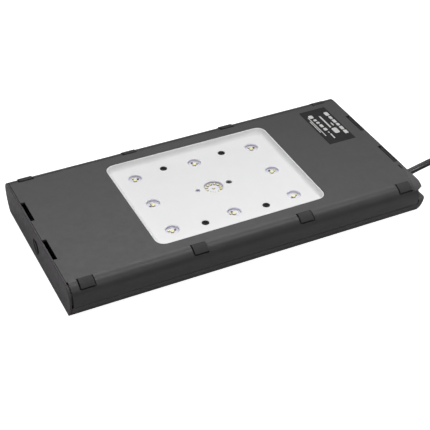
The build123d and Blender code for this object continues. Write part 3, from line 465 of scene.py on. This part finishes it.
MATERIALS = {
    "housing_satin": front_plastic("housing_satin"),
    "housing_textured": back_plastic("housing_textured"),
    "panel_white": panel_plastic("panel_white"),
    "clear_lens": clear_plastic("clear_lens"),
    "led_phosphor": emitter("led_phosphor"),
}
for finish_name, finish in PLASTICS.items():
    MATERIALS[finish_name] = moulded(finish_name, **finish)
for finish_name, finish in METALS.items():
    MATERIALS[finish_name] = metal(finish_name, **finish)


def dress(piece, material):
    """Give a piece one material."""
    piece.data.materials.clear()
    piece.data.materials.append(MATERIALS[material])


def add(name, data, slot, material=None):
    """A new piece on the housing, in its slot's material unless another is named."""
    piece = bpy.data.objects.new(name, data)
    bpy.context.scene.collection.objects.link(piece)
    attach(piece, "housing")
    dress(piece, material or slot)
    return piece


# ---------------------------------------------------------------- power cord
def coil_points():
    """Control points of the coil, turn by turn."""
    widen = 1 / math.cos(math.pi / TURN_POINTS)
    centre_x, centre_y = COIL_CENTRE
    points = []
    for step in range(1, LAST_POINT + 1):
        turn = step / TURN_POINTS
        lane = int(turn)
        after = min(lane + 1, len(TURN_RADII) - 1)
        share = ease(turn - lane, *LANE_CHANGE)
        radius = (TURN_RADII[lane] * (1 - share) + TURN_RADII[after] * share) * widen
        height = COIL_TOP + (COIL_BOTTOM - COIL_TOP) * ease(turn, *DROP)
        angle = math.radians(90) - 2 * math.pi * turn
        points.append((centre_x + radius * math.cos(angle), centre_y + radius * math.sin(angle), height))
    return points


def nurbs_cord(name, points, radius):
    """Round cord on one smooth line."""
    curve = bpy.data.curves.new(name, "CURVE")
    curve.dimensions = "3D"
    spline = curve.splines.new("NURBS")
    spline.points.add(len(points) - 1)
    for control, point in zip(spline.points, points):
        control.co = (*metres(point), 1)
        control.radius = radius * MM
    spline.order_u = 3
    spline.use_endpoint_u = True
    spline.resolution_u = 8
    curve.bevel_depth = 1.0      # times each point's radius
    curve.bevel_resolution = 6
    curve.use_fill_caps = True
    return curve


def tie_path():
    """Middle line of the strap: radius, height, and the direction it faces in degrees."""
    gap = CORD_RADIUS + TIE_THICKNESS / 2
    under = COIL_TOP + gap
    over = under + TIE_THICKNESS + TIE_LAP_GAP
    near, far = min(TURN_RADII), max(TURN_RADII)
    corners = [(far, COIL_TOP), (far, COIL_BOTTOM), (near, COIL_BOTTOM), (near, COIL_TOP)]
    steps = [(radius, under, 90) for radius in TIE_START]
    for quarter, (radius, height) in enumerate(corners):
        for k in range(TIE_CORNER_STEPS + 1):
            facing = 90 - 90 * quarter - 90 * k / TIE_CORNER_STEPS
            turn = math.radians(facing)
            steps.append((radius + gap * math.cos(turn), height + gap * math.sin(turn), facing))
    return steps + [(radius, over - drop, 90) for radius, drop in TIE_LAP]


def tie():
    """Hook-and-loop strap: one band wound round the coil, its narrower end lapped on top."""
    centre_x, centre_y = COIL_CENTRE
    steps = tie_path()
    widths = [TIE_WIDTH] * (len(steps) - 1) + [TIE_END_WIDTH]
    rings = []
    for (radius, height, facing), width in zip(steps, widths):
        out_x = math.cos(math.radians(facing)) * TIE_THICKNESS / 2
        out_z = math.sin(math.radians(facing)) * TIE_THICKNESS / 2
        rings.append([
            (centre_x + radius + out_x * face, centre_y + width / 2 * side, height + out_z * face)
            for side, face in TIE_SECTION
        ])
    return add("coil_tie", mesh("coil_tie", *skin(rings)), "tie_fabric")


def plug_sections():
    """Sections of the plug: distance from the cord's end, radius, and depth of its grips."""
    outline = list(PLUG_FACE)
    for ring in range(NECK_RINGS):
        start = NECK_START[0] + NECK_STEP[0] * ring
        radius = NECK_START[1] + NECK_STEP[1] * ring
        outline += [(start + along, radius + out) for along, out in NECK_RING]
    outline += PLUG_SWELL
    sections = [(along, radius, 0.0) for along, radius in outline]
    sections += [(along, PLUG_RADIUS, GRIP_DEPTH) for along in GRIP_PLACES]
    return sections + [(along, radius, 0.0) for along, radius in PLUG_NOSE]


def plug():
    """Moulded plug: ringed neck, swelling body with finger grips, rounded nose."""
    start_x, start_y, start_z = TAIL_ROUTE[-1]
    count = GRIP_COUNT * GRIP_POINTS
    rings = []
    for along, radius, depth in plug_sections():
        ring = []
        for i in range(count):
            turn = 2 * math.pi * i / count
            r = radius - depth * (0.5 - 0.5 * math.cos(GRIP_COUNT * turn)) ** 2
            ring.append((start_x - along, start_y + r * math.cos(turn), start_z + r * math.sin(turn)))
        rings.append(ring)
    piece = add("plug_moulding", mesh("plug_moulding", *skin(rings)), "plug_rubber")
    edge = piece.modifiers.new("edges", "BEVEL")
    edge.width = PLUG_EDGE * MM
    edge.segments = 2
    edge.limit_method = "ANGLE"
    return piece


def bar_outline(x, y_far, y_near, width):
    """Outline of one printed bar, with rounded corners."""
    radius = min(width, y_far - y_near) * BAR_ROUNDING
    outline = []
    for side_x, side_y, first in ((1, 1, 0), (-1, 1, 90), (-1, -1, 180), (1, -1, 270)):
        middle_x = x + side_x * (width / 2 - radius)
        middle_y = (y_far if side_y > 0 else y_near) - side_y * radius
        for k in range(4):
            turn = math.radians(first + 30 * k)
            outline.append((middle_x + radius * math.cos(turn), middle_y + radius * math.sin(turn)))
    return outline


def label_print():
    """Generic printed bars on the rating label, as thin raised ink."""
    points, faces = [], []
    for row in LABEL_ROWS:
        outline = bar_outline(*row)
        low = [(x, y, LABEL_TOP - INK_SUNK) for x, y in outline]
        high = [(x, y, LABEL_TOP + INK_PROUD) for x, y in outline]
        start = len(points)
        bar_points, bar_faces = skin([low, high])
        points += bar_points
        faces += [tuple(start + index for index in face) for face in bar_faces]
    return add("label_print", mesh("label_print", points, faces, smooth=False), "panel_white", "label_ink")


for node_name, node in nodes.items():
    dress(node, SLOT_OF[node_name])

coil_tie = tie()
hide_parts("cord_tie")
plug_moulding = plug()
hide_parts("plug_body")
label_print()

cord_curve = nurbs_cord("power_lead", CORD_ROUTE + coil_points() + TAIL_ROUTE, CORD_RADIUS)
cord = add("power_lead", cord_curve, "cord_rubber")
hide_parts("power_cord", "power_cord_coil", "power_cord_end")


# ---------------------------------------------------------------- studio
def floor():
    """Pale floor. What the camera sees of it is lifted towards white, its bounce is not."""
    half = FLOOR_HALF
    outline = [(-half, -half), (half, -half), (half, half), (-half, half)]
    data = bpy.data.meshes.new("floor")
    data.from_pydata([(x, y, FLOOR_LEVEL) for x, y in outline], [], [(0, 1, 2, 3)])
    plane = bpy.data.objects.new("floor", data)
    bpy.context.scene.collection.objects.link(plane)
    material, tree, shader = base_material("floor")
    pale = blend_colour(tree, noise(tree, FLOOR_SCALE), FLOOR_DIM, FLOOR_PALE)
    tree.links.new(pale, shader.inputs["Base Color"])
    shader.inputs["Roughness"].default_value = 0.9
    shader.inputs["Specular IOR Level"].default_value = 0.1
    path = tree.nodes.new("ShaderNodeLightPath")
    seen = remap(tree, path.outputs["Is Camera Ray"], 0, FLOOR_GLOW, 0, 1)
    glow = tree.nodes.new("ShaderNodeEmission")
    tree.links.new(seen, glow.inputs["Strength"])
    both = tree.nodes.new("ShaderNodeAddShader")
    tree.links.new(shader.outputs["BSDF"], both.inputs[0])
    tree.links.new(glow.outputs["Emission"], both.inputs[1])
    tree.links.new(both.outputs["Shader"], tree.nodes["Material Output"].inputs["Surface"])
    data.materials.append(material)


def area_light(name, place, aim, size, power):
    """Soft rectangular light, which the camera doesn't see."""
    light = bpy.data.lights.new(name, "AREA")
    light.shape = "RECTANGLE"
    light.size, light.size_y = size
    light.energy = power
    holder = bpy.data.objects.new(name, light)
    bpy.context.scene.collection.objects.link(holder)
    holder.location = place
    holder.rotation_mode = "QUATERNION"
    holder.rotation_quaternion = (Vector(aim) - Vector(place)).to_track_quat("-Z", "Y")
    holder.visible_camera = False


def world():
    """Dim surroundings for the light, white behind the floor."""
    made = bpy.data.worlds.new("studio")
    bpy.context.scene.world = made
    made.use_nodes = True
    tree = made.node_tree
    dim = tree.nodes["Background"]
    dim.inputs["Color"].default_value = (1, 1, 1, 1)
    dim.inputs["Strength"].default_value = WORLD_LIGHT
    white = tree.nodes.new("ShaderNodeBackground")
    white.inputs["Color"].default_value = (1, 1, 1, 1)
    path = tree.nodes.new("ShaderNodeLightPath")
    switch = tree.nodes.new("ShaderNodeMixShader")
    tree.links.new(path.outputs["Is Camera Ray"], switch.inputs["Fac"])
    tree.links.new(dim.outputs["Background"], switch.inputs[1])
    tree.links.new(white.outputs["Background"], switch.inputs[2])
    tree.links.new(switch.outputs["Shader"], tree.nodes["World Output"].inputs["Surface"])


def camera():
    """Camera at a distance from the point it looks at."""
    data = bpy.data.cameras.new("camera")
    data.lens = CAMERA_LENS
    data.sensor_width = CAMERA_SENSOR
    data.clip_start = 0.02
    data.clip_end = 50
    holder = bpy.data.objects.new("camera", data)
    bpy.context.scene.collection.objects.link(holder)
    heading = Matrix.Rotation(math.radians(-CAMERA_TURN), 4, "Z")
    pitch = Matrix.Rotation(math.radians(90 - CAMERA_TILT), 4, "X")
    roll = Matrix.Rotation(math.radians(CAMERA_ROLL), 4, "Z")
    away = Matrix.Translation((0, 0, CAMERA_DISTANCE))
    holder.matrix_world = Matrix.Translation(CAMERA_AIM) @ heading @ pitch @ roll @ away
    bpy.context.scene.camera = holder


floor()
world()
camera()
for light in LIGHTS:
    area_light(*light)
bpy.context.scene.view_settings.view_transform = "Standard"
